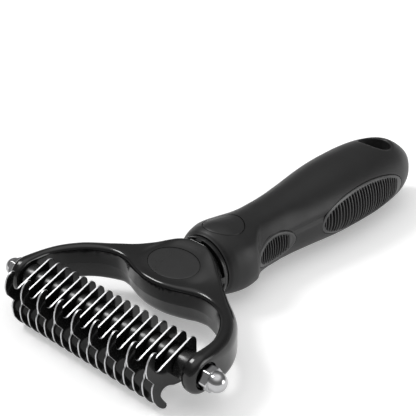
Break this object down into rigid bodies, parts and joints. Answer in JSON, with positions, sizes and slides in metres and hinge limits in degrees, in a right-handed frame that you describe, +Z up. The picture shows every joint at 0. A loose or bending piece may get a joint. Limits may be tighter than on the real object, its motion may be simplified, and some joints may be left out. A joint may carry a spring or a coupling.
{
  "type": "dematting comb",
  "caption": "Pet dematting comb: hooked steel blades on a cross axle in a plastic yoke, with a soft, ribbed straight handle that ends in a hanging hole.",
  "frame": {"origin": "middle of the bounding box in X and Y, on the plane that the comb lies on", "axes": "+X from the blades to the handle's end, +Y along the blade axle, +Z up from the surface that it lies on"},
  "size_m": [0.1742, 0.098, 0.0278],
  "materials": {
    "black_steel": "satin black coating with ground, polished cutting edges",
    "gloss_nylon": "satin black glass-filled nylon",
    "badge": "dark satin inlay",
    "spacer_nylon": "glossy black",
    "chrome": "polished chrome plating",
    "steel": "bright drawn steel",
    "core_plastic": "rigid black plastic",
    "soft_rubber": "matt black thermoplastic rubber",
    "ribbed_rubber": "matt black ribbed rubber"
  },
  "bodies": {
    "root": {"badge_lower": "badge", "badge_upper": "badge", "blade_01": "black_steel", "blade_02": "black_steel", "blade_03": "black_steel", "blade_04": "black_steel", "blade_05": "black_steel", "blade_06": "black_steel", "blade_07": "black_steel", "blade_08": "black_steel", "blade_09": "black_steel", "blade_10": "black_steel", "blade_11": "black_steel", "blade_12": "black_steel", "blade_13": "black_steel", "blade_14": "black_steel", "blade_15": "black_steel", "blade_16": "black_steel", "blade_17": "black_steel", "blade_axle": "steel", "dome_nut_far": "chrome", "dome_nut_near": "chrome", "end_spacer_far": "spacer_nylon", "end_spacer_near": "spacer_nylon", "front_grip_far": "ribbed_rubber", "front_grip_near": "ribbed_rubber", "handle_core": "core_plastic", "handle_cover": "soft_rubber", "neck_collar": "gloss_nylon", "nut_washer_far": "steel", "nut_washer_near": "steel", "rear_grip_far": "ribbed_rubber", "rear_grip_near": "ribbed_rubber", "spacer_01": "spacer_nylon", "spacer_02": "spacer_nylon", "spacer_03": "spacer_nylon", "spacer_04": "spacer_nylon", "spacer_05": "spacer_nylon", "spacer_06": "spacer_nylon", "spacer_07": "spacer_nylon", "spacer_08": "spacer_nylon", "spacer_09": "spacer_nylon", "spacer_10": "spacer_nylon", "spacer_11": "spacer_nylon", "spacer_12": "spacer_nylon", "spacer_13": "spacer_nylon", "spacer_14": "spacer_nylon", "spacer_15": "spacer_nylon", "spacer_16": "spacer_nylon", "tang_pin": "steel", "thumb_pad_lower": "soft_rubber", "thumb_pad_upper": "soft_rubber", "yoke_frame": "gloss_nylon"}
  },
  "joints": []
}
